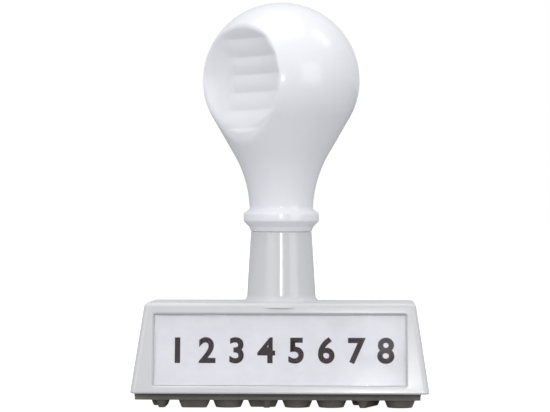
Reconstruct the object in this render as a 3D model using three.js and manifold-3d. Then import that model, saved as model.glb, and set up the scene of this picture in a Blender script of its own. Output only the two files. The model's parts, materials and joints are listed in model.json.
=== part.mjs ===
// A hand stamp: a ball handle with a ribbed thumb recess, screwed on to a hollow mount that has a label window
// in its front face and a rubber die, on foam tape, under its base.
// Millimetres, +Z up, +X along the line of print, -Y towards the label. The die prints at Z = 0.
import * as THREE from "three";
import { mergeVertices } from "three/addons/utils/BufferGeometryUtils.js";
import Module from "manifold-3d";

const wasm = await Module();
wasm.setup();

// ---- driving dimensions ----

const RELIEF = 1.8; // depth of the raised characters
const DIE_FLOOR = 0.7; // rubber behind the characters
const FOAM = 0.95; // foam tape between the rubber and the mount
const DIE_SIZE = { width: 59.4, depth: 12.4 };
const DIE_SHIFT = -0.6; // the die is laid by hand, a little off centre
const TEXT_SHIFT = -0.2;

const CHARACTER = { width: 5.2, height: 7.8, pitch: 7.16, stroke: 1.3, shoulder: 0.75 };

const BASE_Z = RELIEF + DIE_FLOOR + FOAM; // underside of the mount
const DECK_Z = 22.1; // top of the mount
const BASE = { width: 61.7, depth: 22.4 };
const DECK = { width: 56.1, depth: 17.2 };
const SIDE_WALL = 1.8;
const FRONT_WALL = 3.1; // thick enough to hold the label pocket
const DECK_WALL = 1.8;
const EDGE = 0.7; // rounding of the mount's edges

const WINDOW = { width: 52, height: 14.6, depth: 1.4, z: 12.45, chamfer: 0.5 };
const CARD = 0.25;
const COVER = 0.7;

const STEM_FOOT_R = 7.25;
const STEM_TOP_R = 6.4;
const STEM_FILLET = 0.75;
const STEM_TOP_Z = 36.7;
const SPIGOT_R = 4.75;
const SPIGOT_TOP_Z = 46.5;
const SPIGOT_FLAT = 4; // distance from the axis to the flat that keys the handle
const SCREW_SEAT_Z = 34;

const COLLAR = { bottom: 36.8, top: 41.4, radius: 7.9, bandLow: 38.9, bandHigh: 40.5 };
const NECK_R = 6.65;
const NECK_CURVE_R = 24;
const BALL_R = 16.45;
const BALL_LOW_R = 15.7; // the ball is a little flatter below its middle
const BALL_Z = 68.35;
const CONE_ANGLE = THREE.MathUtils.degToRad(30); // handle's taper under the ball, from the vertical
const HANDLE_WALL = 2.2;
const CAVITY_Z = 54;

// The thumb recess is scooped by a sphere at the handle's front left, and its floor is ribbed.
const RECESS = { azimuth: THREE.MathUtils.degToRad(227), rim: 11.4, cutter: 26, z: 68.1 };
const RIB = { pitch: 3.7, height: 0.3, firstZ: 58.2 };

const NUT = { flats: 7, thickness: 3.2, z: 48.6 };
const SCREW = { radius: 1.95, tipZ: 52.8, tipChamfer: 0.6 };
const SCREW_HEAD = { radius: 3.6, height: 2.4, lowRadius: 3, slot: 0.9, slotDepth: 1.2, slotLength: 4.3 };
const WASHER = { radius: 4.2, hole: 2.2, thickness: 0.8 };

const PEG = { radius: 1.2, height: 6, bossRadius: 2.5, rows: [12.5, 24.5] };
const PLATE = 1.6;
const RIB_WALL = 1.2;
const PIN = { radius: 0.9, length: 2.2, bossRadius: 2.1, bossLength: 3 };

const FIT = 0.1; // clearance between pieces that touch
const LOOSE = 0.15; // clearance round a piece that drops into place
const PAST = 1; // how far a cutter runs past the face it opens

const ROUND = 48; // facets of the handle
const SCOOP_ROUND = 88; // facets of the thumb recess, were it a whole turn
const SMALL_ROUND = 24; // facets of the stem's bore, screw and pegs
const WELD = 1e-4;

// ---- solids ----

function solid(geometry) {
  const source = geometry.index ? geometry.toNonIndexed() : geometry;
  const bare = new THREE.BufferGeometry().setAttribute("position", source.getAttribute("position"));
  const merged = mergeVertices(bare, WELD);
  const corners = merged.index.array;
  const kept = [];
  for (let i = 0; i < corners.length; i += 3) {
    const [a, b, c] = [corners[i], corners[i + 1], corners[i + 2]];
    if (a !== b && b !== c && c !== a) kept.push(a, b, c);
  }
  const vertProperties = merged.getAttribute("position").array;
  return new wasm.Manifold(new wasm.Mesh({ numProp: 3, vertProperties, triVerts: new Uint32Array(kept) }));
}

const join = (...solids) => solids.reduce((whole, next) => whole.add(next));
const cut = (whole, ...tools) => tools.reduce((left, tool) => left.subtract(tool), whole);

function block(width, depth, height, x, y, z) {
  return solid(new THREE.BoxGeometry(width, depth, height).translate(x, y, z + height / 2));
}

// A cylinder or cone along Z.
function rod(radius, z0, z1, { x = 0, y = 0, topRadius = radius, facets = SMALL_ROUND, turn = 0 } = {}) {
  const geometry = new THREE.CylinderGeometry(topRadius, radius, z1 - z0, facets);
  return solid(geometry.rotateX(Math.PI / 2).rotateZ(turn).translate(x, y, (z0 + z1) / 2));
}

// A cylinder along Y.
function crossRod(radius, y0, y1, x, z, facets = 12) {
  return solid(new THREE.CylinderGeometry(radius, radius, y1 - y0, facets).translate(x, (y0 + y1) / 2, z));
}

// A profile of [radius, z] points turned about the Z axis.
function turned(profile, facets) {
  const points = profile.map(([r, z]) => new THREE.Vector2(r, z));
  return solid(new THREE.LatheGeometry(points, facets).rotateX(Math.PI / 2).rotateZ(Math.PI / facets));
}

function roundedRectangle(width, depth, radius) {
  const [x, y] = [width / 2 - radius, depth / 2 - radius];
  const shape = new THREE.Shape();
  shape.absarc(x, y, radius, 0, Math.PI / 2);
  shape.absarc(-x, y, radius, Math.PI / 2, Math.PI);
  shape.absarc(-x, -y, radius, Math.PI, 1.5 * Math.PI);
  shape.absarc(x, -y, radius, 1.5 * Math.PI, 2 * Math.PI);
  return shape;
}

// A block that narrows from its low outline to its high one, with rounded corners and, where edge is set,
// rounded edges.
function taperedBlock(low, high, z0, z1, { corner = 1, edge = 0, y = 0 } = {}) {
  const shape = roundedRectangle(low.width - 2 * edge, low.depth - 2 * edge, corner);
  const bevel = { bevelThickness: edge, bevelSize: edge, bevelSegments: 2 };
  const options = { depth: z1 - z0 - 2 * edge, curveSegments: 3, bevelEnabled: edge > 0, ...bevel };
  const geometry = new THREE.ExtrudeGeometry(shape, options).translate(0, 0, z0 + edge);
  const place = geometry.getAttribute("position");
  for (let i = 0; i < place.count; i++) {
    const share = (place.getZ(i) - z0) / (z1 - z0);
    const narrowX = THREE.MathUtils.lerp(1, high.width / low.width, share);
    const narrowY = THREE.MathUtils.lerp(1, high.depth / low.depth, share);
    place.setXY(i, place.getX(i) * narrowX, place.getY(i) * narrowY);
  }
  return solid(geometry.translate(0, y, 0));
}

const group = new THREE.Group();

function addPiece(name, shape, look, parent = group) {
  const mesh = shape.getMesh();
  const geometry = new THREE.BufferGeometry();
  geometry.setAttribute("position", new THREE.BufferAttribute(mesh.vertProperties, 3));
  geometry.setIndex(new THREE.BufferAttribute(mesh.triVerts, 1));
  geometry.computeVertexNormals();
  const piece = new THREE.Mesh(geometry, look);
  piece.name = name;
  parent.add(piece);
  return piece;
}

const looks = {
  plastic: new THREE.MeshStandardMaterial({ color: 0xe4e5ea, roughness: 0.22, metalness: 0 }),
  paper: new THREE.MeshStandardMaterial({ color: 0xe2e0e6, roughness: 0.8, metalness: 0 }),
  clear: new THREE.MeshStandardMaterial({ color: 0xffffff, roughness: 0.05, transparent: true, opacity: 0.25 }),
  foam: new THREE.MeshStandardMaterial({ color: 0x55544c, roughness: 0.95, metalness: 0 }),
  rubber: new THREE.MeshStandardMaterial({ color: 0x66635a, roughness: 0.7, metalness: 0 }),
  steel: new THREE.MeshStandardMaterial({ color: 0xb9bbbd, roughness: 0.35, metalness: 1 }),
};

// ---- the mount ----

const mountShare = (z) => (z - BASE_Z) / (DECK_Z - BASE_Z);
const widthAt = (z) => THREE.MathUtils.lerp(BASE.width, DECK.width, mountShare(z));
const depthAt = (z) => THREE.MathUtils.lerp(BASE.depth, DECK.depth, mountShare(z));
const FRONT_LEAN = Math.atan((BASE.depth - DECK.depth) / 2 / (DECK_Z - BASE_Z));
const HOLLOW_Y = (FRONT_WALL - SIDE_WALL) / 2; // the hollow's middle, behind the thicker front wall

// The mount's hollow between two heights, with a clearance all round.
function hollow(z0, z1, clearance) {
  const outline = (z) => ({
    width: widthAt(z) - 2 * SIDE_WALL - 2 * clearance,
    depth: depthAt(z) - SIDE_WALL - FRONT_WALL - 2 * clearance,
  });
  return taperedBlock(outline(z0), outline(z1), z0, z1, { y: HOLLOW_Y });
}

// The label's place on the leaning front face: its local X runs along the print, Y up the face and Z out of it.
const labelPlace = new THREE.Group();
labelPlace.position.set(0, -depthAt(WINDOW.z) / 2, WINDOW.z);
labelPlace.rotation.x = Math.PI / 2 - FRONT_LEAN;
labelPlace.updateMatrix();
group.add(labelPlace);

function windowPocket() {
  const { width, height, depth, chamfer } = WINDOW;
  const pocket = new THREE.BoxGeometry(width, height, depth + PAST).translate(0, 0, (PAST - depth) / 2);
  const mouth = new THREE.ExtrudeGeometry(roundedRectangle(width, height, 0.3), {
    depth: PAST,
    curveSegments: 2,
    bevelThickness: chamfer,
    bevelSize: chamfer,
    bevelSegments: 1,
  });
  return join(solid(pocket.applyMatrix4(labelPlace.matrix)), solid(mouth.applyMatrix4(labelPlace.matrix)));
}

function stem() {
  const quarter = Math.PI / 2;
  const profile = [[0, DECK_Z - EDGE]];
  profile.push([STEM_FOOT_R + STEM_FILLET, DECK_Z - EDGE]);
  for (let step = 0; step <= 3; step++) {
    const angle = (quarter * step) / 3;
    const r = STEM_FOOT_R + STEM_FILLET * (1 - Math.sin(angle));
    profile.push([r, DECK_Z + STEM_FILLET * (1 - Math.cos(angle))]);
  }
  profile.push([STEM_TOP_R, STEM_TOP_Z], [SPIGOT_R, STEM_TOP_Z]);
  profile.push([SPIGOT_R, SPIGOT_TOP_Z - 0.5], [SPIGOT_R - 0.5, SPIGOT_TOP_Z], [0, SPIGOT_TOP_Z]);
  const flat = block(4 * SPIGOT_R, SPIGOT_R, SPIGOT_TOP_Z, 0, SPIGOT_FLAT + SPIGOT_R / 2, STEM_TOP_Z);
  return cut(turned(profile, ROUND), flat);
}

function mountHousing() {
  const ceiling = DECK_Z - DECK_WALL;
  const bossFoot = BASE_Z + PLATE + FIT;
  const shell = taperedBlock(BASE, DECK, BASE_Z, DECK_Z, { corner: 1.3, edge: EDGE });
  const inside = [];
  for (const side of [-1, 1]) {
    for (const row of PEG.rows) {
      inside.push(rod(PEG.bossRadius, bossFoot, ceiling + PAST / 2, { x: side * row, y: HOLLOW_Y }));
    }
    const [near, far] = PEG.rows;
    const length = far - near;
    inside.push(block(length, RIB_WALL, ceiling - bossFoot, (side * (near + far)) / 2, HOLLOW_Y, bossFoot));
  }
  const sockets = PEG.rows.flatMap((row) =>
    [-1, 1].map((side) =>
      rod(PEG.radius + FIT, bossFoot - PAST, bossFoot + PEG.height + PAST, { x: side * row, y: HOLLOW_Y }),
    ),
  );
  const hollowed = cut(shell, hollow(BASE_Z - PAST, ceiling, 0));
  const seatRadius = WASHER.radius + FIT * 2;
  const bore = rod(STEM_FOOT_R - SIDE_WALL, ceiling - PAST, SCREW_SEAT_Z, { topRadius: seatRadius });
  const screwHole = rod(WASHER.hole, SCREW_SEAT_Z - PAST, SPIGOT_TOP_Z + PAST);
  return cut(join(hollowed, stem(), ...inside), bore, screwHole, windowPocket(), ...sockets);
}

function bottomPlate() {
  const plate = hollow(BASE_Z, BASE_Z + PLATE, LOOSE);
  const top = BASE_Z + PLATE;
  const pegs = PEG.rows.flatMap((row) =>
    [-1, 1].map((side) => rod(PEG.radius, top - FIT, top + PEG.height, { x: side * row, y: HOLLOW_Y })),
  );
  return join(plate, ...pegs);
}

addPiece("mount_housing", mountHousing(), looks.plastic);
addPiece("bottom_plate", bottomPlate(), looks.plastic);

// ---- the label ----

const cardSeat = -WINDOW.depth + FIT / 2;
const card = block(WINDOW.width - 2 * LOOSE, WINDOW.height - 2 * LOOSE, CARD, 0, 0, cardSeat);
addPiece("label_card", card, looks.paper, labelPlace);
const coverSeat = cardSeat + CARD + FIT / 2;
const cover = block(WINDOW.width - 2 * FIT, WINDOW.height - 2 * FIT, COVER, 0, 0, coverSeat);
addPiece("label_cover", cover, looks.clear, labelPlace);

// ---- the die ----

const TURN = THREE.MathUtils.degToRad(1);
const line = (...points) => points;

// The points of an ellipse's arc, in shares of a character's box, from one angle to another in degrees.
function arc(x, y, rx, ry, from, to) {
  const steps = Math.max(3, Math.round(Math.abs(to - from) / 40));
  return Array.from({ length: steps + 1 }, (_, i) => {
    const angle = (from + ((to - from) * i) / steps) * TURN;
    return [x + rx * Math.cos(angle), y + ry * Math.sin(angle)];
  });
}

// Each digit as pen strokes inside a box of 1 by 1.
const DIGITS = [
  [line([0.2, 0.76], [0.6, 1], [0.6, 0])],
  [[...arc(0.5, 0.69, 0.48, 0.31, 165, -35), [0, 0], [1, 0]]],
  [arc(0.46, 0.76, 0.46, 0.24, 155, -90), arc(0.46, 0.26, 0.52, 0.26, 90, -155)],
  [line([0.72, 0], [0.72, 1], [0, 0.3], [1, 0.3])],
  [line([0.92, 1], [0.16, 1], [0.08, 0.52]), arc(0.48, 0.32, 0.52, 0.32, 140, -150)],
  [arc(0.5, 0.31, 0.5, 0.31, 0, 360), arc(0.85, 0.31, 0.85, 0.69, 180, 95)],
  [line([0, 1], [1, 1], [0.36, 0])],
  [arc(0.5, 0.77, 0.42, 0.23, 0, 360), arc(0.5, 0.27, 0.5, 0.27, 0, 360)],
];

// One straight stretch of a pen stroke, round at both ends: flat where it prints, with shoulders that widen
// to the rubber's floor.
function strokeBar([x0, y0], [x1, y1]) {
  const pen = CHARACTER.stroke / 2;
  const half = Math.hypot(x1 - x0, y1 - y0) / 2;
  const shape = new THREE.Shape();
  shape.absarc(half, 0, pen, -Math.PI / 2, Math.PI / 2);
  shape.absarc(-half, 0, pen, Math.PI / 2, 1.5 * Math.PI);
  const options = { depth: RELIEF + DIE_FLOOR / 2, curveSegments: 4, bevelEnabled: false };
  const geometry = new THREE.ExtrudeGeometry(shape, options);
  const place = geometry.getAttribute("position");
  for (let i = 0; i < place.count; i++) {
    const spine = THREE.MathUtils.clamp(place.getX(i), -half, half);
    const splay = 1 + ((CHARACTER.shoulder / pen) * place.getZ(i)) / RELIEF;
    place.setXY(i, spine + (place.getX(i) - spine) * splay, place.getY(i) * splay);
  }
  geometry.rotateZ(Math.atan2(y1 - y0, x1 - x0));
  return solid(geometry.translate((x0 + x1) / 2, (y0 + y1) / 2, 0));
}

function rubberDie() {
  const { width, height, pitch, stroke } = CHARACTER;
  const bars = [];
  DIGITS.forEach((strokes, index) => {
    const left = TEXT_SHIFT + (index - (DIGITS.length - 1) / 2) * pitch - width / 2 + stroke / 2;
    const low = -height / 2 + stroke / 2;
    const place = ([x, y]) => [left + x * (width - stroke), low + y * (height - stroke)];
    for (const points of strokes) {
      for (let i = 1; i < points.length; i++) bars.push(strokeBar(place(points[i - 1]), place(points[i])));
    }
  });
  const sheet = block(DIE_SIZE.width, DIE_SIZE.depth, DIE_FLOOR, DIE_SHIFT, 0, RELIEF);
  return join(sheet, ...bars);
}

const FOAM_GAP = 0.02;
const foamLow = RELIEF + DIE_FLOOR + FOAM_GAP;
const foam = block(DIE_SIZE.width, DIE_SIZE.depth, FOAM - 2 * FOAM_GAP, DIE_SHIFT, 0, foamLow);
addPiece("foam_tape", foam, looks.foam);
addPiece("rubber_die", rubberDie(), looks.rubber);

// ---- the handle ----

// The handle's outline, from the top of the collar up to the top of the ball.
function gripProfile() {
  const tangent = Math.atan((Math.tan(CONE_ANGLE) * BALL_LOW_R) / BALL_R);
  const tangentR = BALL_R * Math.cos(tangent);
  const tangentZ = BALL_Z - BALL_LOW_R * Math.sin(tangent);
  const curveTopR = NECK_R + NECK_CURVE_R * (1 - Math.cos(CONE_ANGLE));
  const curveTopZ = tangentZ - (tangentR - curveTopR) / Math.tan(CONE_ANGLE);
  const neckZ = curveTopZ - NECK_CURVE_R * Math.sin(CONE_ANGLE);
  const profile = [[NECK_R, COLLAR.top]];
  for (let step = 1; step <= 4; step++) {
    const angle = (CONE_ANGLE * step) / 4;
    profile.push([NECK_R + NECK_CURVE_R * (1 - Math.cos(angle)), neckZ + NECK_CURVE_R * Math.sin(angle)]);
  }
  // Rows at each groove between ribs and at each rib's crown.
  const row = RIB.pitch / 2;
  const ballTop = BALL_Z + BALL_R;
  for (let z = RIB.firstZ - 2 * row; z < ballTop - 2; z += row) {
    const share = (z - BALL_Z) / (z > BALL_Z ? BALL_R : BALL_LOW_R);
    const cone = tangentR - (tangentZ - z) * Math.tan(CONE_ANGLE);
    profile.push([z > tangentZ ? BALL_R * Math.sqrt(1 - share ** 2) : cone, z]);
  }
  for (const angle of [68, 75, 82].map(THREE.MathUtils.degToRad)) {
    const z = BALL_Z + BALL_R * Math.sin(angle);
    if (z > profile.at(-1)[1] + 0.3) profile.push([BALL_R * Math.cos(angle), z]);
  }
  return profile;
}

// The scoop that makes the thumb recess: a ball of its own, grooved in rings so that it leaves ribs. The inside
// of the handle keeps clear of it by a wall.
function scoop(wall) {
  const plane = Math.sqrt(BALL_R ** 2 - RECESS.rim ** 2);
  const centre = plane + Math.sqrt(RECESS.cutter ** 2 - RECESS.rim ** 2);
  const radius = RECESS.cutter + wall;
  const low = RIB.firstZ - 3 * RIB.pitch;
  const rows = [];
  for (let row = 0; low + (row * RIB.pitch) / 2 < BALL_Z + BALL_R; row++) {
    const z = low + (row * RIB.pitch) / 2;
    const groove = wall === 0 && row % 2 === 1 ? RIB.height : 0;
    rows.push([Math.sqrt(radius ** 2 - (z - RECESS.z) ** 2) - groove, z]);
  }
  const ball = turned([[0, rows[0][1]], ...rows, [0, rows.at(-1)[1]]], SCOOP_ROUND);
  return ball.translate([centre * Math.cos(RECESS.azimuth), centre * Math.sin(RECESS.azimuth), 0]);
}

function handleCavity() {
  const inner = BALL_R - HANDLE_WALL;
  const slope = Math.tan(CONE_ANGLE);
  const tangentZ = BALL_Z - inner * Math.sin(CONE_ANGLE);
  const bottomR = inner * Math.cos(CONE_ANGLE) - (tangentZ - CAVITY_Z) * slope;
  const profile = [[0, CAVITY_Z], [bottomR, CAVITY_Z]];
  const steps = 11;
  for (let step = 0; step < steps; step++) {
    const angle = THREE.MathUtils.lerp(-CONE_ANGLE, Math.PI / 2, step / steps);
    profile.push([inner * Math.cos(angle), BALL_Z + inner * Math.sin(angle)]);
  }
  profile.push([0, BALL_Z + inner]);
  return cut(turned(profile, ROUND), scoop(HANDLE_WALL));
}

// The collar's outline, hollowed under its band.
function collarProfile() {
  const { bottom, radius, bandLow, bandHigh } = COLLAR;
  const steps = 3;
  const profile = Array.from({ length: steps + 1 }, (_, step) => {
    const angle = (Math.PI / 2) * (step / steps);
    const r = STEM_TOP_R + (radius - STEM_TOP_R) * (1 - Math.cos(angle));
    return [r, bottom + (bandLow - bottom) * Math.sin(angle)];
  });
  return [...profile, [radius, bandHigh]];
}

function wholeHandle() {
  const grip = gripProfile();
  const top = [0, BALL_Z + BALL_R];
  const low = COLLAR.bottom;
  const outside = cut(turned([[0, low], ...collarProfile(), ...grip, top], ROUND), scoop(0));
  const keyed = cut(
    rod(SPIGOT_R + FIT, low - PAST, SPIGOT_TOP_Z + FIT),
    block(4 * SPIGOT_R, SPIGOT_R, SPIGOT_TOP_Z, 0, SPIGOT_FLAT + FIT + SPIGOT_R / 2, low - 2 * PAST),
  );
  const screwWay = rod(WASHER.hole, SPIGOT_TOP_Z, CAVITY_Z + PAST);
  const nutAcross = (NUT.flats + 2 * FIT) / Math.sqrt(3);
  const nutPocket = rod(nutAcross, NUT.z - FIT, NUT.z + NUT.thickness + FIT, { facets: 6 });
  const bosses = pinPlaces().map(([x, z]) => crossRod(PIN.bossRadius, -PIN.bossLength, PIN.bossLength, x, z));
  const hollowed = cut(outside, handleCavity());
  return cut(join(hollowed, outside.intersect(join(...bosses))), keyed, screwWay, nutPocket);
}

// The four places on the seam where pins line the two halves up.
function pinPlaces() {
  return [-1, 1].flatMap((side) => [
    [side * 8.7, 58],
    [side * 10.2, 76],
  ]);
}

function handleHalf(whole, side) {
  const reach = 2 * BALL_R;
  const half = block(2 * reach, reach, 3 * reach, 0, side * (reach / 2 + FIT / 2), 0);
  return whole.intersect(half);
}

const handle = wholeHandle();
const pins = pinPlaces().map(([x, z]) => crossRod(PIN.radius, -PIN.length, FIT, x, z));
const pinHoles = pinPlaces().map(([x, z]) => crossRod(PIN.radius + FIT, -PIN.length - FIT * 2, FIT, x, z));
addPiece("handle_front_shell", cut(handleHalf(handle, -1), ...pinHoles), looks.plastic);
addPiece("handle_rear_shell", join(handleHalf(handle, 1), ...pins), looks.plastic);

// ---- the fastening, inside the stem and neck ----

function handleScrew() {
  const seat = SCREW_SEAT_Z - WASHER.thickness - FIT;
  const { radius, height, lowRadius, slot, slotDepth, slotLength } = SCREW_HEAD;
  const low = seat - height;
  const head = rod(lowRadius, low, seat, { topRadius: radius });
  const tipFoot = SCREW.tipZ - SCREW.tipChamfer;
  const shank = rod(SCREW.radius, seat - FIT, tipFoot);
  const tip = rod(SCREW.radius, tipFoot, SCREW.tipZ, { topRadius: SCREW.radius - SCREW.tipChamfer });
  const cross = [
    [slotLength, slot],
    [slot, slotLength],
  ].map(([width, depth]) => block(width, depth, slotDepth + PAST, 0, 0, low - PAST));
  return cut(join(head, shank, tip), ...cross);
}

addPiece("handle_screw", handleScrew(), looks.steel);
const washerTop = SCREW_SEAT_Z - FIT / 2;
const washer = cut(
  rod(WASHER.radius, washerTop - WASHER.thickness, washerTop),
  rod(WASHER.hole, washerTop - 2 * WASHER.thickness, washerTop + PAST),
);
addPiece("screw_washer", washer, looks.steel);
const nut = cut(
  rod(NUT.flats / Math.sqrt(3), NUT.z, NUT.z + NUT.thickness, { facets: 6 }),
  rod(SCREW.radius + FIT / 2, NUT.z - PAST, NUT.z + NUT.thickness + PAST),
);
addPiece("handle_nut", nut, looks.steel);

export default group;
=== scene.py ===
"""A hand stamp with a ball handle, a label window and a rubber die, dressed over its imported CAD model.

Shapes are worked out in millimetres and written to the meshes in metres, in the model's own frame:
+Z up, +X along the line of print, -Y out of the label window, and Z = 0 at the face that prints.
"""

import json
import math

import bmesh
import bpy
import numpy as np
from mathutils import Matrix, Vector


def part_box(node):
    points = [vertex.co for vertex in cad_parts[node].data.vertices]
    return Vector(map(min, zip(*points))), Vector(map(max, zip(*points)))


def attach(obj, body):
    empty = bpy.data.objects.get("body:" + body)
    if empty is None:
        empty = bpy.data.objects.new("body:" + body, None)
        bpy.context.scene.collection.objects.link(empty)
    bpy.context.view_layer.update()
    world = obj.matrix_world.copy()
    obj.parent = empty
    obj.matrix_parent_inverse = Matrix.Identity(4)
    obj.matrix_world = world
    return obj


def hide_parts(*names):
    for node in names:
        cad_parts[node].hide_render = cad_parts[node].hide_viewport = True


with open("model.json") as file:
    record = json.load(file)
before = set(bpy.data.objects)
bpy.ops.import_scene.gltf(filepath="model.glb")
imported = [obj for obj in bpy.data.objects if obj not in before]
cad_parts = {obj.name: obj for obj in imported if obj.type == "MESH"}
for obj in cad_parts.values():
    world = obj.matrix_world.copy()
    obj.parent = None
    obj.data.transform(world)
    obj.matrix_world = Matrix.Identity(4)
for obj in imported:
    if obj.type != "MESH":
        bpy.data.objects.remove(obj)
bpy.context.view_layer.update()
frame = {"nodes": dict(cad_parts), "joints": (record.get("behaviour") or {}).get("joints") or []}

MM = 0.001
STAMP_BODY = "stamp"
COVER_BODY = "label_cover"

# ---- sizes, in millimetres ----

BALL_LOW_R = 15.7  # the ball is a little flatter below its middle
CONE_ANGLE = math.radians(30)
NECK_R = 6.65
NECK_CURVE_R = 24.0
STEM_TOP_R = 6.4
STEM_FOOT_R = 7.25
STEM_FILLET = 1.5
STEM_TOP_Z = 36.7
SPIGOT_R = 4.75
SPIGOT_TOP_Z = 46.5
COLLAR = {"bottom": 36.75, "top": 41.45, "radius": 7.9, "low": 38.95, "high": 40.6}
HANDLE_WALL = 2.2
CAVITY_Z = 54.0
NUT_POCKET = {"radius": 4.2, "bottom": 48.45, "top": 51.95}
SCREW_HOLE_R = 2.2
SCREW_SEAT = {"radius": 4.4, "z": 34.0}
SEAM = {"gap": 0.02, "depth": 0.07, "width": 0.12}

RECESS = {"azimuth": math.radians(227), "rim": 11.4, "cutter": 26.0, "z": 68.1}
RIB = {"pitch": 3.7, "height": 0.34, "first_z": 58.2, "rows": 16}
RIB_FADE = (math.radians(-30), math.radians(-19))  # where the ribs begin, as a turn from the recess's middle

DECK_Z = 22.1
BASE = {"width": 61.7, "depth": 22.4}
DECK = {"width": 56.1, "depth": 17.2}
TOP_ROUND = 0.85
LOW_ROUND = 0.45
CORNER_ROUND = 1.1
SIDE_WALL = 1.8
FRONT_WALL = 3.1
DECK_WALL = 1.8
PLATE = 1.6
WINDOW = {"width": 52.0, "height": 14.6, "depth": 1.4, "z": 12.45, "chamfer": 0.5}
CARD = {"width": 51.9, "height": 14.5, "thick": 0.25}
COVER = {"width": 51.9, "height": 14.5, "thick": 0.7}
PEG = {"radius": 1.2, "height": 6.0, "boss": 2.5, "rows": (12.5, 24.5)}
FIT = 0.1  # clearance between pieces that touch
LOOSE = 0.15  # clearance round a piece that drops into place
PAST = 1.0  # how far a cutter runs past the face it opens
SEAT_GAP = 0.05  # under the card and under the cover

CHARACTER = {"width": 5.2, "height": 7.8, "pitch": 7.16, "stroke": 1.3, "shoulder": 0.75}
TEXT_SHIFT = -0.2
DIE_FLOOR = 0.7
PRINT = {"height": 5.0, "pitch": 6.14, "shift": 1.0, "bold": 0.42, "ink": 0.03}
GENERIC_TEXT = "12345678"

rear_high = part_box("handle_rear_shell")[1] / MM
housing_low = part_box("mount_housing")[0] / MM
die_low, die_high = (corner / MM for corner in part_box("rubber_die"))
foam_low, foam_high = (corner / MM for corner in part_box("foam_tape"))

BALL_R = 16.45
BALL_TOP_Z = rear_high.z
BALL_Z = BALL_TOP_Z - BALL_R
BASE_Z = housing_low.z
PULL = Vector(frame["joints"][0]["axis"]).normalized()
LEAN = math.atan2(PULL.z, -PULL.y)


# ---- mesh helpers ----


def make_object(name, points_mm, faces, materials, sharp=35.0):
    """An object from points in millimetres, smooth except along edges sharper than an angle in degrees."""
    mesh = bpy.data.meshes.new(name)
    points = np.asarray(points_mm, dtype=float) * MM
    mesh.from_pydata([tuple(p) for p in points], [], [tuple(int(i) for i in f) for f in faces])
    mesh.update()
    for material in materials:
        mesh.materials.append(material)
    obj = bpy.data.objects.new(name, mesh)
    bpy.context.scene.collection.objects.link(obj)
    tidy_mesh(mesh, sharp)
    return obj


def tidy_mesh(mesh, sharp):
    """Turns the faces outwards and marks the sharp edges."""
    work = bmesh.new()
    work.from_mesh(mesh)
    bmesh.ops.remove_doubles(work, verts=work.verts, dist=0.002 * MM)
    bmesh.ops.dissolve_degenerate(work, edges=work.edges, dist=0.0005 * MM)
    bmesh.ops.recalc_face_normals(work, faces=work.faces)
    limit = math.radians(sharp)
    for face in work.faces:
        face.smooth = True
    for edge in work.edges:
        edge.smooth = len(edge.link_faces) == 2 and edge.calc_face_angle(0.0) < limit
    work.to_mesh(mesh)
    work.free()
    mesh.update()


def fillet_path(corners, step=12.0):
    """A polyline through (r, z, radius) corners, with an arc of that radius at each one."""
    path = []
    for i, (r, z, radius) in enumerate(corners):
        here = Vector((r, z))
        if radius == 0 or i in (0, len(corners) - 1):
            path.append((r, z))
            continue
        before = (Vector(corners[i - 1][:2]) - here).normalized()
        after = (Vector(corners[i + 1][:2]) - here).normalized()
        half = before.angle(after) / 2
        reach = radius / math.tan(half)
        middle = here + (before + after).normalized() * (radius / math.sin(half))
        start, end = here + before * reach - middle, here + after * reach - middle
        turn = start.angle(end)
        count = max(2, math.ceil(math.degrees(turn) / step))
        for k in range(count + 1):
            share = k / count
            spot = (start * math.sin((1 - share) * turn) + end * math.sin(share * turn)) / math.sin(turn)
            path.append(tuple(middle + spot))
    return path


def lathe(name, path, materials, around=128, centre=(0.0, 0.0)):
    """A closed body from a path of (r, z) that starts and ends on the axis."""
    points, rings = [], []
    for r, z in path:
        if r < 1e-6:
            rings.append([len(points)])
            points.append((centre[0], centre[1], z))
            continue
        rings.append(list(range(len(points), len(points) + around)))
        for k in range(around):
            angle = 2 * math.pi * k / around
            points.append((centre[0] + r * math.cos(angle), centre[1] + r * math.sin(angle), z))
    faces = []
    for low, high in zip(rings, rings[1:]):
        for k in range(around):
            n = (k + 1) % around
            corners = [low[k % len(low)], low[n % len(low)], high[n % len(high)], high[k % len(high)]]
            faces.append(list(dict.fromkeys(corners)))
    return make_object(name, points, faces, materials)


def rounded_outline(width, depth, radius, steps=6):
    """The points of a rectangle with round corners, anticlockwise."""
    points = []
    for quarter, (sx, sy) in enumerate(((1, 1), (-1, 1), (-1, -1), (1, -1))):
        cx, cy = sx * (width / 2 - radius), sy * (depth / 2 - radius)
        for k in range(steps + 1):
            angle = math.pi / 2 * (quarter + k / steps)
            points.append((cx + radius * math.cos(angle), cy + radius * math.sin(angle)))
    return points


def loft(name, levels, materials, place=None, sharp=35.0):
    """A closed body through (width, depth, corner radius, z) levels, moved by place."""
    points, faces, around = [], [], 0
    for width, depth, radius, z in levels:
        outline = rounded_outline(width, depth, radius)
        around = len(outline)
        points += [(x, y, z) for x, y in outline]
    for row in range(len(levels) - 1):
        for k in range(around):
            n = (k + 1) % around
            low, high = row * around, (row + 1) * around
            faces.append((low + k, low + n, high + n, high + k))
    faces.append(tuple(reversed(range(around))))
    faces.append(tuple(range((len(levels) - 1) * around, len(levels) * around)))
    if place is not None:
        points = [tuple(place @ Vector(p)) for p in points]
    return make_object(name, points, faces, materials, sharp)


def cylinder(radius, z0, z1, centre):
    """A plain round tool for cutting and joining."""
    return lathe("tool", [(0, z0), (radius, z0), (radius, z1), (0, z1)], [base_plastic], 48, centre)


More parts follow.
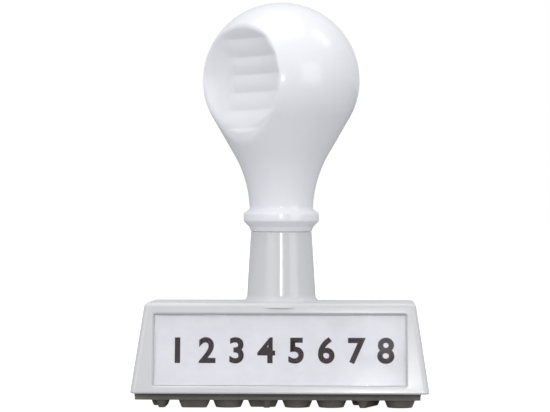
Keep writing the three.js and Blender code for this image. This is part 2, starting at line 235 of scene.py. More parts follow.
def grid_rim(columns, rows):
    """The places of a grid's outer points in its list of points, once round."""
    rim = list(range(columns))
    rim += [j * columns + columns - 1 for j in range(1, rows)]
    rim += [(rows - 1) * columns + i for i in range(columns - 2, -1, -1)]
    rim += [j * columns for j in range(rows - 2, 0, -1)]
    return rim


def edge_rows(z0, z1, low_round, high_round, steps=6):
    """(z, inset) rows of an upright wall whose low and high edges are round."""
    rows = []
    for k in range(steps + 1):
        angle = math.pi / 2 * k / steps
        rows.append((z0 + low_round * (1 - math.cos(angle)), low_round * (1 - math.sin(angle))))
    for k in range(steps + 1):
        angle = math.pi / 2 * k / steps
        rows.append((z1 - high_round * (1 - math.sin(angle)), high_round * (1 - math.cos(angle))))
    return rows


def combine(target, tools, operation):
    """Joins tools to the target or cuts them from it, and removes them."""
    for tool in tools:
        modifier = target.modifiers.new("combine", "BOOLEAN")
        modifier.operation = operation
        modifier.solver = "EXACT"
        modifier.object = tool
        depsgraph = bpy.context.evaluated_depsgraph_get()
        mesh = bpy.data.meshes.new_from_object(target.evaluated_get(depsgraph))
        target.modifiers.clear()
        target.data = mesh
        bpy.data.objects.remove(tool)
    return target


def even_normals(piece):
    """Keeps flat faces looking flat right up to their rounded edges."""
    even = piece.modifiers.new("even_normals", "WEIGHTED_NORMAL")
    even.keep_sharp = True


def finish_piece(piece, body, slot, *nodes):
    """Hangs a piece on the body it rides on and hides the CAD nodes it stands for. slot, the finish it takes,
    is not used.
    """
    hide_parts(*nodes)
    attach(piece, body)
    return piece


# ---- material helpers ----


def new_material(name):
    """A new material and its main shader."""
    material = bpy.data.materials.new(name)
    material.use_nodes = True
    return material, material.node_tree.nodes["Principled BSDF"]


def add_node(material, kind, **values):
    """A node with its properties and plain inputs set by name."""
    node = material.node_tree.nodes.new(kind)
    for key, value in values.items():
        if key in node.inputs:
            node.inputs[key].default_value = value
        else:
            setattr(node, key, value)
    return node


def link(material, source, target):
    material.node_tree.links.new(source, target)


def object_point(material):
    """The point in the piece's own frame, in metres."""
    return add_node(material, "ShaderNodeTexCoord").outputs["Object"]


def noise(material, scale, detail=3.0, roughness=0.5, stretch=(1, 1, 1)):
    """A noise pattern from 0 to 1. scale is how many features there are to a metre."""
    mapping = add_node(material, "ShaderNodeMapping")
    mapping.inputs["Scale"].default_value = stretch
    link(material, object_point(material), mapping.inputs["Vector"])
    texture = add_node(material, "ShaderNodeTexNoise")
    texture.inputs["Scale"].default_value = scale
    texture.inputs["Detail"].default_value = detail
    texture.inputs["Roughness"].default_value = roughness
    link(material, mapping.outputs["Vector"], texture.inputs["Vector"])
    return texture.outputs["Fac"]


def remap(material, source, low, high, to_low, to_high):
    """source from low to high, spread over to_low to to_high and held there."""
    node = add_node(material, "ShaderNodeMapRange")
    for key, value in (("From Min", low), ("From Max", high), ("To Min", to_low), ("To Max", to_high)):
        node.inputs[key].default_value = value
    link(material, source, node.inputs["Value"])
    return node.outputs["Result"]


def blend_colours(material, amount, first, second):
    """A mix of two colours, where each is a colour or a socket."""
    node = add_node(material, "ShaderNodeMix", data_type="RGBA")
    link(material, amount, node.inputs["Factor"])
    for index, colour in ((6, first), (7, second)):
        if isinstance(colour, tuple):
            node.inputs[index].default_value = (*colour, 1.0)
        else:
            link(material, colour, node.inputs[index])
    return node.outputs[2]


def bump(material, height, strength, distance, below=None):
    """A normal from a height pattern, on top of another normal."""
    node = add_node(material, "ShaderNodeBump")
    node.inputs["Strength"].default_value = strength
    node.inputs["Distance"].default_value = distance
    link(material, height, node.inputs["Height"])
    if below is not None:
        link(material, below, node.inputs["Normal"])
    return node.outputs["Normal"]


def moulded_plastic(name, colour, shade, rough, peel):
    """Glossy white moulded plastic: flow marks, orange peel, fine scuffs and a little dust."""
    material, shader = new_material(name)
    flow = noise(material, 60, 4, 0.55, (1, 1, 0.35))
    base = blend_colours(material, remap(material, flow, 0.35, 0.7, 0.0, 1.0), colour, shade)
    dust = remap(material, noise(material, 2600, 2, 0.4), 0.74, 0.8, 0.0, 0.35)
    grey = tuple(0.62 * c for c in colour)
    link(material, blend_colours(material, dust, base, grey), shader.inputs["Base Color"])
    scuffs = noise(material, 420, 5, 0.7)
    link(material, remap(material, scuffs, 0.45, 0.8, rough, rough + 0.12), shader.inputs["Roughness"])
    ripple = bump(material, noise(material, 260, 2, 0.4), peel, 0.008 * MM)
    link(material, ripple, shader.inputs["Normal"])
    shader.inputs["IOR"].default_value = 1.5
    shader.inputs["Subsurface Weight"].default_value = 0.12
    shader.inputs["Subsurface Radius"].default_value = (1.2, 1.1, 1.0)
    shader.inputs["Subsurface Scale"].default_value = 1.2 * MM
    return material


shell_plastic = moulded_plastic("shell_plastic", (0.82, 0.822, 0.845), (0.8, 0.803, 0.83), 0.16, 0.18)
base_plastic = moulded_plastic("base_plastic", (0.625, 0.626, 0.63), (0.6, 0.601, 0.606), 0.16, 0.18)


def plate_plastic_material():
    """The bottom plate's finely spark-eroded plastic."""
    material, shader = new_material("plate_plastic")
    tone = remap(material, noise(material, 90, 3), 0.3, 0.7, 0.0, 1.0)
    colour = blend_colours(material, tone, (0.72, 0.72, 0.74), (0.66, 0.665, 0.68))
    link(material, colour, shader.inputs["Base Color"])
    shader.inputs["Roughness"].default_value = 0.48
    texture = bump(material, noise(material, 5200, 2, 0.6), 0.35, 0.02 * MM)
    link(material, texture, shader.inputs["Normal"])
    return material


plate_plastic = plate_plastic_material()


def paper_material():
    """Pale label card: fibres, a soft mottle and a faint unevenness."""
    material, shader = new_material("label_paper")
    mottle = remap(material, noise(material, 320, 5, 0.6), 0.3, 0.7, 0.0, 1.0)
    tone = blend_colours(material, mottle, (0.64, 0.632, 0.655), (0.59, 0.582, 0.605))
    fibres = remap(material, noise(material, 2400, 3, 0.6, (0.35, 1, 1)), 0.55, 0.75, 0.0, 0.35)
    link(material, blend_colours(material, fibres, tone, (0.52, 0.512, 0.535)), shader.inputs["Base Color"])
    shader.inputs["Roughness"].default_value = 0.62
    link(material, bump(material, noise(material, 1900, 3), 0.25, 0.02 * MM), shader.inputs["Normal"])
    return material


def ink_material():
    """Dark maroon print, a touch uneven where the ink lies thin."""
    material, shader = new_material("label_ink")
    thin = remap(material, noise(material, 900, 4, 0.6), 0.45, 0.8, 0.0, 0.5)
    colour = blend_colours(material, thin, (0.012, 0.001, 0.002), (0.03, 0.006, 0.008))
    link(material, colour, shader.inputs["Base Color"])
    shader.inputs["Roughness"].default_value = 0.6
    shader.inputs["Specular IOR Level"].default_value = 0.08
    return material


def clear_material():
    """Clear plastic that lets lamps through to the card behind it."""
    material, shader = new_material("clear_cover")
    shader.inputs["Base Color"].default_value = (0.97, 0.975, 0.985, 1.0)
    shader.inputs["Transmission Weight"].default_value = 1.0
    shader.inputs["IOR"].default_value = 1.46
    shader.inputs["Specular IOR Level"].default_value = 0.14
    shader.inputs["Roughness"].default_value = 0.03
    ripple = bump(material, noise(material, 45, 1, 0.4), 0.05, 0.05 * MM)
    link(material, ripple, shader.inputs["Normal"])
    through = add_node(material, "ShaderNodeBsdfTransparent")
    through.inputs["Color"].default_value = (0.95, 0.955, 0.965, 1.0)
    path = add_node(material, "ShaderNodeLightPath")
    mix = add_node(material, "ShaderNodeMixShader")
    link(material, path.outputs["Is Shadow Ray"], mix.inputs[0])
    link(material, shader.outputs[0], mix.inputs[1])
    link(material, through.outputs[0], mix.inputs[2])
    link(material, mix.outputs[0], material.node_tree.nodes["Material Output"].inputs["Surface"])
    return material


def rubber_material():
    """Engraved rubber: grey-olive, matt, with the engraver's fine lines and old ink dust."""
    material, shader = new_material("die_rubber")
    tone = remap(material, noise(material, 260, 5, 0.6), 0.3, 0.7, 0.0, 1.0)
    base = blend_colours(material, tone, (0.23, 0.215, 0.185), (0.18, 0.17, 0.145))
    chalk = remap(material, noise(material, 3000, 3, 0.6), 0.6, 0.75, 0.0, 0.5)
    link(material, blend_colours(material, chalk, base, (0.34, 0.325, 0.29)), shader.inputs["Base Color"])
    shader.inputs["Roughness"].default_value = 0.66
    lines = add_node(material, "ShaderNodeTexWave", bands_direction="Z")
    lines.inputs["Scale"].default_value = 1100
    lines.inputs["Distortion"].default_value = 1.5
    link(material, object_point(material), lines.inputs["Vector"])
    engraved = bump(material, lines.outputs["Fac"], 0.35, 0.03 * MM)
    grain = bump(material, noise(material, 2600, 3, 0.6), 0.4, 0.03 * MM, engraved)
    link(material, grain, shader.inputs["Normal"])
    return material


def foam_material():
    """Closed-cell foam tape: a cut edge full of small round cells, with painted shade darkening each cell's
    pit.
    """
    material, shader = new_material("foam_tape")
    cells = add_node(material, "ShaderNodeTexVoronoi")
    cells.inputs["Scale"].default_value = 5200
    link(material, object_point(material), cells.inputs["Vector"])
    depth = remap(material, cells.outputs["Distance"], 0.0, 0.75, 0.0, 1.0)
    # painted shade: the colour runs dark in each cell's pit and lighter towards its rim, following the same
    # pattern the bump uses
    colour = blend_colours(material, depth, (0.1, 0.098, 0.088), (0.2, 0.193, 0.175))
    link(material, colour, shader.inputs["Base Color"])
    shader.inputs["Roughness"].default_value = 0.9
    link(material, bump(material, depth, 0.8, 0.06 * MM), shader.inputs["Normal"])
    return material


def steel_material():
    """Bright zinc plate over steel, with fine turning lines and dull patches."""
    material, shader = new_material("zinc_steel")
    dull = remap(material, noise(material, 500, 4, 0.6), 0.35, 0.7, 0.0, 1.0)
    colour = blend_colours(material, dull, (0.62, 0.63, 0.64), (0.48, 0.5, 0.52))
    link(material, colour, shader.inputs["Base Color"])
    shader.inputs["Metallic"].default_value = 1.0
    link(material, remap(material, dull, 0.0, 1.0, 0.24, 0.45), shader.inputs["Roughness"])
    lines = noise(material, 2500, 2, 0.5, (0.1, 0.1, 1))
    link(material, bump(material, lines, 0.2, 0.01 * MM), shader.inputs["Normal"])
    return material


label_paper = paper_material()
label_ink = ink_material()
clear_plastic = clear_material()
die_rubber = rubber_material()
tape_foam = foam_material()
zinc_steel = steel_material()


# ---- the handle ----


def outline_radius(z):
    """The handle's radius at a height above its collar."""
    z = np.asarray(z, dtype=float)
    tangent = math.atan(math.tan(CONE_ANGLE) * BALL_LOW_R / BALL_R)
    tangent_r, tangent_z = BALL_R * math.cos(tangent), BALL_Z - BALL_LOW_R * math.sin(tangent)
    curve_r = NECK_R + NECK_CURVE_R * (1 - math.cos(CONE_ANGLE))
    curve_z = tangent_z - (tangent_r - curve_r) / math.tan(CONE_ANGLE)
    neck_z = curve_z - NECK_CURVE_R * math.sin(CONE_ANGLE)
    reach = np.where(z > BALL_Z, BALL_R, BALL_LOW_R)
    ball = BALL_R * np.sqrt(np.clip(1 - ((z - BALL_Z) / reach) ** 2, 0, 1))
    cone = tangent_r - (tangent_z - z) * math.tan(CONE_ANGLE)
    rise = np.clip(z - neck_z, 0, NECK_CURVE_R)
    neck = NECK_R + NECK_CURVE_R - np.sqrt(NECK_CURVE_R**2 - rise**2)
    return np.where(z > tangent_z, ball, np.where(z > curve_z, cone, neck))


NO_RECESS = 1000.0  # far outside the handle


def recess_floor(angle, z):
    """How far the recess's floor is from the axis, or NO_RECESS where there is none."""
    plane = math.sqrt(BALL_R**2 - RECESS["rim"] ** 2)
    centre = plane + math.sqrt(RECESS["cutter"] ** 2 - RECESS["rim"] ** 2)
    along = centre * np.cos(angle - RECESS["azimuth"])
    inside = along**2 - (centre**2 + (z - RECESS["z"]) ** 2 - RECESS["cutter"] ** 2)
    hit = (inside > 0) & (along > 0)
    return np.where(hit, along - np.sqrt(np.clip(inside, 0, None)), NO_RECESS)


def smooth_min(a, b, width):
    """The lesser of two values, rounded over where they cross."""
    share = np.clip(0.5 + 0.5 * (b - a) / width, 0, 1)
    return b * (1 - share) + a * share - width * share * (1 - share)


def scooped_radius(radius, angle, z):
    """The radius of the outside once the ribbed thumb recess is scooped out."""
    floor = recess_floor(angle, z)
    depth = np.clip((radius - floor) / 0.9, 0, 1)
    crown = np.abs(np.sin(math.pi * (z - RIB["first_z"]) / RIB["pitch"]))
    turn = np.mod(angle - RECESS["azimuth"] + math.pi, 2 * math.pi) - math.pi
    begun = np.clip((turn - RIB_FADE[0]) / (RIB_FADE[1] - RIB_FADE[0]), 0, 1)
    ribbed = floor + RIB["height"] * crown * depth * begun
    softness = np.interp(z, (58.0, 66.0), (2.2, 0.45))
    return np.where(floor == NO_RECESS, radius, smooth_min(radius, ribbed, softness))


def handle_outside():
    """The (r, z) rows of the outside, from the socket's mouth to the top of the ball."""
    c = COLLAR
    start_z = c["top"] + 0.5
    collar = [
        (SPIGOT_R + LOOSE, c["bottom"], 0),
        (STEM_TOP_R, c["bottom"], 0.12),
        (STEM_TOP_R + 0.35, c["bottom"] + 1.0, 1.6),
        (c["radius"], c["low"], 0.5),
        (c["radius"], c["high"], 0.45),
        (NECK_R + 0.05, c["top"], 0.6),
        (float(outline_radius(start_z)), start_z, 0),
    ]
    rows = fillet_path(collar)
    spacing = RIB["pitch"] / RIB["rows"]
    first = RIB["first_z"] - spacing * math.floor((RIB["first_z"] - start_z) / spacing) + spacing
    heights = np.arange(first, BALL_Z + BALL_R * math.sin(math.radians(72)), spacing)
    rows += [(float(outline_radius(z)), float(z)) for z in heights]
    last = math.degrees(math.asin((heights[-1] - BALL_Z) / BALL_R))
    for angle in np.radians(np.arange(math.floor(last) + 1.5, 90, 1.5)):
        rows.append((BALL_R * math.cos(angle), BALL_Z + BALL_R * math.sin(angle)))
    return rows + [(0.0, BALL_TOP_Z)]


def handle_inside():
    """The (r, z) rows of the inside, from the top of the hollow down to the socket's mouth."""
    inner = BALL_R - HANDLE_WALL
    rows = [(0.0, BALL_Z + inner)]
    for angle in np.radians(np.arange(86, -30, -4)):
        rows.append((inner * math.cos(angle), BALL_Z + inner * math.sin(angle)))
    bottom = rows[-1][0] - (rows[-1][1] - CAVITY_Z) * math.tan(CONE_ANGLE)
    nut, hole_r = NUT_POCKET, SCREW_HOLE_R
    socket_r, socket_z = SPIGOT_R + LOOSE, SPIGOT_TOP_Z + FIT
    rows += [(bottom, CAVITY_Z), (hole_r, CAVITY_Z), (hole_r, nut["top"]), (nut["radius"], nut["top"])]
    rows += [(nut["radius"], nut["bottom"]), (hole_r, nut["bottom"]), (hole_r, socket_z), (socket_r, socket_z)]
    return rows


def handle_half(name, side):
    """One half of the handle, a shell split on the XZ plane. side is -1 in front and 1 behind."""
    outside, inside = handle_outside(), handle_inside()
    fine = np.array([0, 0.15, 0.3, 0.5, 0.8, 1.2])
    degrees = np.concatenate([fine, np.arange(2, 179, 1.0), 180 - fine[::-1]])
    angles = side * np.radians(degrees)
    points, rings = [], []
    for index, (r, z) in enumerate(outside + inside):
        if r == 0:
            rings.append([len(points)])
            points.append((0.0, 0.0, z))
            continue
        radius = np.full(len(angles), r)
        if index < len(outside):
            radius = scooped_radius(radius, angles, z)
            off_seam = np.abs(radius * np.sin(angles))
            radius = radius - SEAM["depth"] * np.exp(-((off_seam / SEAM["width"]) ** 2))
        else:
            radius = np.minimum(radius, recess_floor(angles, z) - HANDLE_WALL)
        rings.append(list(range(len(points), len(points) + len(angles))))
        points += [(q * math.cos(a), q * math.sin(a), z) for q, a in zip(radius, angles)]
    faces = []
    for low, high in zip(rings, rings[1:] + rings[:1]):
        for k in range(len(angles) - 1):
            n = k + 1
            corners = [low[k % len(low)], low[n % len(low)], high[n % len(high)], high[k % len(high)]]
            face = list(dict.fromkeys(corners))
            if len(face) > 2:
                faces.append(face)
    faces.append([ring[0] for ring in rings])
    faces.append([ring[-1] for ring in reversed(rings)])
    half_gap = side * SEAM["gap"] / 2
    points = [(x, y + half_gap, z) for x, y, z in points]
    return make_object(name, points, faces, [shell_plastic], sharp=40)


finish_piece(handle_half("handle_front", -1), STAMP_BODY, "plastic_shell", "handle_front_shell")
finish_piece(handle_half("handle_rear", 1), STAMP_BODY, "plastic_shell", "handle_rear_shell")


# ---- the mount ----


def size_at(z):
    """The mount's width and depth at a height."""
    share = (z - BASE_Z) / (DECK_Z - BASE_Z)
    width = BASE["width"] + (DECK["width"] - BASE["width"]) * share
    depth = BASE["depth"] + (DECK["depth"] - BASE["depth"]) * share
    return width, depth


def hollow_levels(z0, z1, clearance):
    """Two levels of the mount's hollow, with a clearance all round."""
    levels = []
    for z in (z0, z1):
        width, depth = size_at(z)
        inside = depth - SIDE_WALL - FRONT_WALL - 2 * clearance
        levels.append((width - 2 * SIDE_WALL - 2 * clearance, inside, 1.0, z))
    return levels


HOLLOW_Y = (FRONT_WALL - SIDE_WALL) / 2
label_place = Matrix.Translation((0, -size_at(WINDOW["z"])[1] / 2, WINDOW["z"])) @ Matrix.Rotation(
    math.pi / 2 - LEAN, 4, "X"
)


def window_cutter():
    """The pocket for the label, with a chamfered and slightly rounded mouth."""
    w, h, depth, chamfer = WINDOW["width"], WINDOW["height"], WINDOW["depth"], WINDOW["chamfer"]
    rows = [(0.0, -depth), (0.0, -chamfer)]
    rows += [(chamfer * 0.1, -chamfer * 0.75), (chamfer * 0.7, -chamfer * 0.15), (chamfer * 1.3, 0.08)]
    rows.append((chamfer * 1.3, 1.0))
    levels = [(w + 2 * out, h + 2 * out, 0.25 + out, z) for out, z in rows]
    return loft("window", levels, [base_plastic], label_place)


def mount_housing():
    """The hollow mount with its stem and spigot."""
    levels = []
    for z, inset in edge_rows(BASE_Z, DECK_Z, LOW_ROUND, TOP_ROUND, 8):
        width, depth = size_at(z)
        levels.append((width - 2 * inset, depth - 2 * inset, CORNER_ROUND, z))
    housing = loft("mount", levels, [base_plastic])
    ceiling = DECK_Z - DECK_WALL
    boss_foot = BASE_Z + PLATE + FIT
    hollow_place = Matrix.Translation((0, HOLLOW_Y, 0))
    hollow = loft("hollow", hollow_levels(BASE_Z - PAST, ceiling, 0), [base_plastic], hollow_place)
    combine(housing, [hollow], "DIFFERENCE")
    stem = [
        (0, DECK_Z - 1, 0),
        (STEM_FOOT_R + STEM_FILLET + 0.6, DECK_Z - 1, 0),
        (STEM_FOOT_R + STEM_FILLET, DECK_Z - 0.01, 0),
        (STEM_FOOT_R + 0.01, DECK_Z + 0.01, STEM_FILLET),
        (STEM_TOP_R, STEM_TOP_Z, 0.15),
        (SPIGOT_R, STEM_TOP_Z, 0),
        (SPIGOT_R, SPIGOT_TOP_Z, 0.4),
        (0, SPIGOT_TOP_Z, 0),
    ]
    combine(housing, [lathe("stem", fillet_path(stem, 8), [base_plastic])], "UNION")
    bosses, sockets = [], []
    socket_r, socket_low, socket_high = PEG["radius"] + FIT, boss_foot - PAST, boss_foot + PEG["height"] + PAST
    for row in PEG["rows"]:
        for side in (-1, 1):
            centre = (side * row, HOLLOW_Y)
            bosses.append(cylinder(PEG["boss"], boss_foot, ceiling + 0.5, centre))
            sockets.append(cylinder(socket_r, socket_low, socket_high, centre))
    combine(housing, bosses, "UNION")
    bore_low, seat_z = ceiling - PAST, SCREW_SEAT["z"]
    bore = [
        (0, bore_low, 0),
        (STEM_FOOT_R - SIDE_WALL, bore_low, 0),
        (SCREW_SEAT["radius"], seat_z, 0),
        (0, seat_z, 0),
    ]
    screw_way = cylinder(SCREW_HOLE_R, seat_z - PAST, SPIGOT_TOP_Z + PAST, (0, 0))
    cutters = [lathe("bore", fillet_path(bore), [base_plastic], 64), screw_way, window_cutter(), *sockets]
    combine(housing, cutters, "DIFFERENCE")
    tidy_mesh(housing.data, 30)
    even_normals(housing)
    return housing


finish_piece(mount_housing(), STAMP_BODY, "plastic_base", "mount_housing")


def bottom_plate():
    """The plate that closes the mount, with its edges broken and its pegs."""
    levels = []
    for z, inset in edge_rows(BASE_Z, BASE_Z + PLATE, 0.25, 0.15, 4):
        width, depth, radius, _ = hollow_levels(z, z + 1, LOOSE)[0]
        levels.append((width - 2 * inset, depth - 2 * inset, radius, z))
    plate = loft("plate", levels, [plate_plastic], Matrix.Translation((0, HOLLOW_Y, 0)))
    top = BASE_Z + PLATE
    pegs = [
        cylinder(PEG["radius"], top - 0.5, top + PEG["height"], (side * row, HOLLOW_Y))
        for row in PEG["rows"]
        for side in (-1, 1)
    ]
    combine(plate, pegs, "UNION")
    plate.data.materials.clear()
    plate.data.materials.append(plate_plastic)
    tidy_mesh(plate.data, 30)
    return plate


finish_piece(bottom_plate(), STAMP_BODY, "plastic_plate", "bottom_plate")


# ---- the label ----


def printed_characters():
    """The print as thin solid characters, centred, with X along the line: (points, faces)."""
    curve = bpy.data.curves.new("print", "FONT")
    curve.body = GENERIC_TEXT
    curve.size = 1.0
    curve.resolution_u = 6
    plain = bpy.data.objects.new("print", curve)
    bpy.context.scene.collection.objects.link(plain)
    bpy.context.view_layer.update()
    digit_height = plain.dimensions.y
    curve.body = "88"
    bpy.context.view_layer.update()
    pair = plain.dimensions.x
    curve.body = "8"
    bpy.context.view_layer.update()
    advance = pair - plain.dimensions.x
    scale = PRINT["height"] / digit_height
    curve.body = GENERIC_TEXT
    curve.size = scale
    curve.space_character = PRINT["pitch"] / (advance * scale)
    curve.offset = PRINT["bold"] / 2
    curve.extrude = PRINT["ink"] / 2
    bpy.context.view_layer.update()
    depsgraph = bpy.context.evaluated_depsgraph_get()
    mesh = bpy.data.meshes.new_from_object(plain.evaluated_get(depsgraph))
    points = np.array([v.co[:] for v in mesh.vertices])
    faces = [tuple(p.vertices) for p in mesh.polygons]
    bpy.data.objects.remove(plain)
    points -= (points.max(axis=0) + points.min(axis=0)) / 2
    return points, faces


def label_card():
    """The printed card: a sheet that isn't quite flat, with the print on its face."""
    seat = -WINDOW["depth"] + SEAT_GAP
    columns, rows = 107, 31
    xs = np.linspace(-CARD["width"] / 2, CARD["width"] / 2, columns)
    ys = np.linspace(-CARD["height"] / 2, CARD["height"] / 2, rows)

    def swell(x, y):
        edge = (1 - (2 * x / CARD["width"]) ** 2) * (1 - (2 * y / CARD["height"]) ** 2)
        return 0.022 * edge * (np.sin(0.31 * x + 0.6) + 0.6 * np.sin(0.83 * x - 0.4 * y))

    points, faces = [], []
    for level in (0.0, CARD["thick"]):
        for y in ys:
            for x in xs:
                points.append((x, y, seat + level + (swell(x, y) if level else 0.0)))
    top = columns * rows
    for j in range(rows - 1):
        for i in range(columns - 1):
            a = j * columns + i
            faces.append((a, a + columns, a + columns + 1, a + 1))
            faces.append((top + a, top + a + 1, top + a + columns + 1, top + a + columns))
    ring = grid_rim(columns, rows)
    for a, b in zip(ring, ring[1:] + ring[:1]):
        faces.append((a, b, top + b, top + a))
    placed = [tuple(label_place @ Vector(p)) for p in points]
    card = make_object("label_card_sheet", placed, faces, [label_paper])

    ink, ink_faces = printed_characters()
    spots = []
    for x, y, z in ink:
        face = seat + CARD["thick"] + swell(x + PRINT["shift"], y)
        spots.append(tuple(label_place @ Vector((x + PRINT["shift"], y, face + z + PRINT["ink"] * 0.2))))
    text = make_object("label_print", spots, ink_faces, [label_ink])
    return card, text


card_sheet, card_print = label_card()
finish_piece(card_sheet, STAMP_BODY, "label_paper", "label_card")
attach(card_print, STAMP_BODY)


def label_cover():
    """The clear cover: a moulded pane with softened edges."""
    seat = -WINDOW["depth"] + SEAT_GAP + CARD["thick"] + SEAT_GAP
    levels = []
    for z, inset in edge_rows(seat, seat + COVER["thick"], 0.05, 0.08, 5):
        levels.append((COVER["width"] - 2 * inset, COVER["height"] - 2 * inset, 0.3, z))
    pane = loft("label_pane", levels, [clear_plastic], label_place)
    even_normals(pane)
    return pane


finish_piece(label_cover(), COVER_BODY, "clear_cover", "label_cover")


# ---- the die ----


def arc(x, y, rx, ry, start, end):
    """Points along an ellipse, in shares of a character's box, from one angle to another in degrees."""
    count = max(8, round(abs(end - start) / 10))
    angles = np.radians(np.linspace(start, end, count + 1))
    return [(x + rx * math.cos(a), y + ry * math.sin(a)) for a in angles]


# Each digit as pen strokes inside a box of 1 by 1.
DIGITS = (
    ([(0.2, 0.76), (0.6, 1), (0.6, 0)],),
    (arc(0.5, 0.69, 0.48, 0.31, 165, -35) + [(0, 0), (1, 0)],),
    (arc(0.46, 0.76, 0.46, 0.24, 155, -90), arc(0.46, 0.26, 0.52, 0.26, 90, -155)),
    ([(0.72, 0), (0.72, 1), (0, 0.3), (1, 0.3)],),
    ([(0.92, 1), (0.16, 1), (0.08, 0.52)], arc(0.48, 0.32, 0.52, 0.32, 140, -150)),
    (arc(0.5, 0.31, 0.5, 0.31, 0, 360), arc(0.85, 0.31, 0.85, 0.69, 180, 95)),
    ([(0, 1), (1, 1), (0.36, 0)],),
    (arc(0.5, 0.77, 0.42, 0.23, 0, 360), arc(0.5, 0.27, 0.5, 0.27, 0, 360)),
)


def stroke_distance(xs, ys):
    """How far each point is from the nearest pen stroke's middle line."""
    c = CHARACTER
    nearest = np.full(xs.shape, 99.0)
    for index, strokes in enumerate(DIGITS):
        left = TEXT_SHIFT + (index - (len(DIGITS) - 1) / 2) * c["pitch"] - c["width"] / 2 + c["stroke"] / 2
        low = -c["height"] / 2 + c["stroke"] / 2
        across, up = c["width"] - c["stroke"], c["height"] - c["stroke"]
        near = np.abs(xs - left - across / 2) < c["width"] / 2 + 2.5
        for points in strokes:
            spots = [np.array((left + x * across, low + y * up)) for x, y in points]
            for start, end in zip(spots, spots[1:]):
                run = end - start
                dx, dy = xs[near] - start[0], ys[near] - start[1]
                share = np.clip((dx * run[0] + dy * run[1]) / max(run @ run, 1e-9), 0, 1)
                gap = np.hypot(dx - share * run[0], dy - share * run[1])
                nearest[near] = np.minimum(nearest[near], gap)
    return nearest


def rubber_die():
    """The rubber sheet with its raised characters: flat tops, sloping shoulders and steeper feet."""
    c = CHARACTER
    relief = die_high.z - die_low.z - DIE_FLOOR
    spacing = 0.1
    columns = round((die_high.x - die_low.x) / spacing) + 1
    rows = round((die_high.y - die_low.y) / spacing) + 1
    across = np.linspace(die_low.x, die_high.x, columns)
    deep = np.linspace(die_low.y, die_high.y, rows)
    xs, ys = np.meshgrid(across, deep)
    past = stroke_distance(xs, ys) - c["stroke"] / 2
    share = np.clip(past / c["shoulder"], 0, 1)
    foot, foot_drop = 0.85, 0.03
    slope = share * (1 - foot_drop)
    steeper = slope + foot_drop * ((share - foot) / (1 - foot))
    height = die_low.z + relief * np.where(share < foot, slope, steeper)
    rng = np.random.default_rng(7)
    floor = (past > c["shoulder"]) * rng.normal(0, 0.012, past.shape)
    height = height + floor
    top = die_high.z
    points = [(x, y, z) for x, y, z in zip(xs.ravel(), ys.ravel(), height.ravel())]
    faces = []
    for j in range(rows - 1):
        for i in range(columns - 1):
            a = j * columns + i
            faces.append((a, a + columns, a + columns + 1, a + 1))
    ring = grid_rim(columns, rows)
    first = len(points)
    points += [(points[i][0], points[i][1], top) for i in ring]
    for k, i in enumerate(ring):
        n = (k + 1) % len(ring)
        faces.append((i, ring[n], first + n, first + k))
    faces.append(tuple(range(first, first + len(ring))))
    return make_object("die", points, faces, [die_rubber], sharp=50)


finish_piece(rubber_die(), STAMP_BODY, "die_rubber", "rubber_die")


def foam_tape():
    """The foam tape, cut a little unevenly along its edges."""
    low, high = foam_low, foam_high
    across, deep = high.x - low.x, high.y - low.y
    columns, levels = 241, 7
    outline = [(low.x + across * k / (columns - 1), low.y) for k in range(columns)]
    side = 49
    outline += [(high.x, low.y + deep * k / side) for k in range(1, side)]
    outline += [(high.x - across * k / (columns - 1), high.y) for k in range(columns)]
    outline += [(low.x, high.y - deep * k / side) for k in range(1, side)]
    rng = np.random.default_rng(11)
    around = len(outline)
    points = []
    for level in range(levels):
        share = level / (levels - 1)
        bulge = 0.06 * math.sin(math.pi * share) + 0.02
        wobble = rng.normal(0, 0.012, around) + bulge - 0.02
        for (x, y), out in zip(outline, wobble):
            nx = out if x >= high.x else -out if x <= low.x else 0
            ny = out if y >= high.y else -out if y <= low.y else 0
            points.append((x + nx, y + ny, low.z + (high.z - low.z) * share))
    faces = []
    for level in range(levels - 1):
        for k in range(around):
            n = (k + 1) % around
            a, b = level * around, (level + 1) * around
            faces.append((a + k, a + n, b + n, b + k))
    faces.append(tuple(reversed(range(around))))
    faces.append(tuple(range((levels - 1) * around, levels * around)))
    return make_object("tape", points, faces, [tape_foam])


foam = finish_piece(foam_tape(), STAMP_BODY, "foam", "foam_tape")


# ---- the fastening inside ----

for node in ("handle_screw", "screw_washer", "handle_nut"):
    part = frame["nodes"][node]
    part.data.materials.clear()
    part.data.materials.append(zinc_steel)


# ---- floor, light and camera ----


def floor_material():
    """A plain pale floor that glows to the camera only, so that the gaps between the characters look white."""
    material, shader = new_material("floor")
    tone = remap(material, noise(material, 3, 2), 0.3, 0.7, 0.0, 1.0)
    colour = blend_colours(material, tone, (0.32, 0.32, 0.32), (0.3, 0.3, 0.31))
    link(material, colour, shader.inputs["Base Color"])
    shader.inputs["Roughness"].default_value = 0.9
    shader.inputs["Emission Color"].default_value = (1.0, 1.0, 1.0, 1.0)
    seen = add_node(material, "ShaderNodeLightPath").outputs["Is Camera Ray"]
    link(material, remap(material, seen, 0.0, 1.0, 0.02, 0.95), shader.inputs["Emission Strength"])
    return material


def floor_disc():
    """A wide round floor at the printing face."""
    radius, thick = 4000, 20
    disc = lathe("floor", [(0, -thick), (radius, -thick), (radius, 0), (0, 0)], [floor_material()], 96)


floor_disc()


def area_light(name, place, target, size, power):
    """A rectangular softbox that faces a target. Sizes and places are in millimetres, and power in watts."""
    data = bpy.data.lights.new(name, "AREA")
    data.shape = "RECTANGLE"
    data.size, data.size_y = (side * MM for side in size)
    data.energy = power
    light = bpy.data.objects.new(name, data)
    light.location = Vector(place) * MM
    facing = (Vector(target) - Vector(place)).normalized()
    light.rotation_mode = "QUATERNION"
    light.rotation_quaternion = facing.to_track_quat("-Z", "Y")
    bpy.context.scene.collection.objects.link(light)


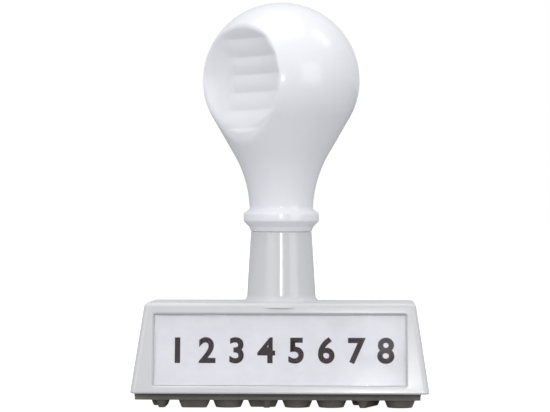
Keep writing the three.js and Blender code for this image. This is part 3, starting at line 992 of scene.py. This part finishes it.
def soft_sun():
    """Soft light from above, even all over the floor."""
    data = bpy.data.lights.new("sky_panel", "SUN")
    data.energy = 0.85
    data.angle = math.radians(60)
    light = bpy.data.objects.new("sky_panel", data)
    light.rotation_euler = (math.radians(8), math.radians(-6), 0)
    bpy.context.scene.collection.objects.link(light)


soft_sun()
area_light("upper_right", (350, 36, 450), (0, 0, 68), (150, 190), 0.2)
area_light("overhead", (-60, 60, 560), (0, 0, 68), (260, 260), 0.15)
area_light("by_camera", (20, -520, 76), (0, 0, 60), (13, 46), 0.32)
area_light("pane_glare", (36, -520, 140), (0, 0, 20), (40, 40), 0.0035)
area_light("front_left", (-330, -480, 250), (0, 0, 60), (400, 400), 0.9)
area_light("front_right", (430, -400, 150), (0, 0, 60), (300, 300), 0.6)


def world_light():
    """Light from all round, a touch stronger from the right, with plain white behind the object."""
    world = bpy.data.worlds.new("studio")
    bpy.context.scene.world = world
    world.use_nodes = True
    nodes, links = world.node_tree.nodes, world.node_tree.links
    nodes.clear()
    fill = nodes.new("ShaderNodeBackground")
    fill.inputs["Color"].default_value = (0.94, 0.95, 1.0, 1.0)
    direction = nodes.new("ShaderNodeTexCoord")
    split = nodes.new("ShaderNodeSeparateXYZ")
    links.new(direction.outputs["Generated"], split.inputs[0])
    fall = nodes.new("ShaderNodeMapRange")
    for key, value in (("From Min", -1.0), ("From Max", 1.0), ("To Min", 0.66), ("To Max", 0.7)):
        fall.inputs[key].default_value = value
    links.new(split.outputs["X"], fall.inputs["Value"])
    links.new(fall.outputs["Result"], fill.inputs["Strength"])
    white = nodes.new("ShaderNodeBackground")
    white.inputs["Color"].default_value = (1.0, 1.0, 1.0, 1.0)
    path = nodes.new("ShaderNodeLightPath")
    mix = nodes.new("ShaderNodeMixShader")
    out = nodes.new("ShaderNodeOutputWorld")
    links.new(path.outputs["Is Camera Ray"], mix.inputs[0])
    links.new(fill.outputs[0], mix.inputs[1])
    links.new(white.outputs[0], mix.inputs[2])
    links.new(mix.outputs[0], out.inputs["Surface"])


world_light()

CAMERA = {"azimuth": math.radians(2.5), "distance": 450.0, "x": -1.33, "z": 42.1, "lens": 140.0}


def camera():
    """A long lens a little right of straight on, level with the collar."""
    data = bpy.data.cameras.new("camera")
    data.sensor_width = 36.0
    data.lens = CAMERA["lens"]
    view = bpy.data.objects.new("camera", data)
    bpy.context.scene.collection.objects.link(view)
    a, d = CAMERA["azimuth"], CAMERA["distance"]
    aim = Vector((CAMERA["x"], 0, CAMERA["z"]))
    place = aim + Vector((d * math.sin(a), -d * math.cos(a), 0))
    view.location = place * MM
    view.rotation_mode = "QUATERNION"
    view.rotation_quaternion = (aim - place).to_track_quat("-Z", "Y")
    bpy.context.scene.camera = view


camera()
bpy.context.scene.view_settings.view_transform = "Standard"
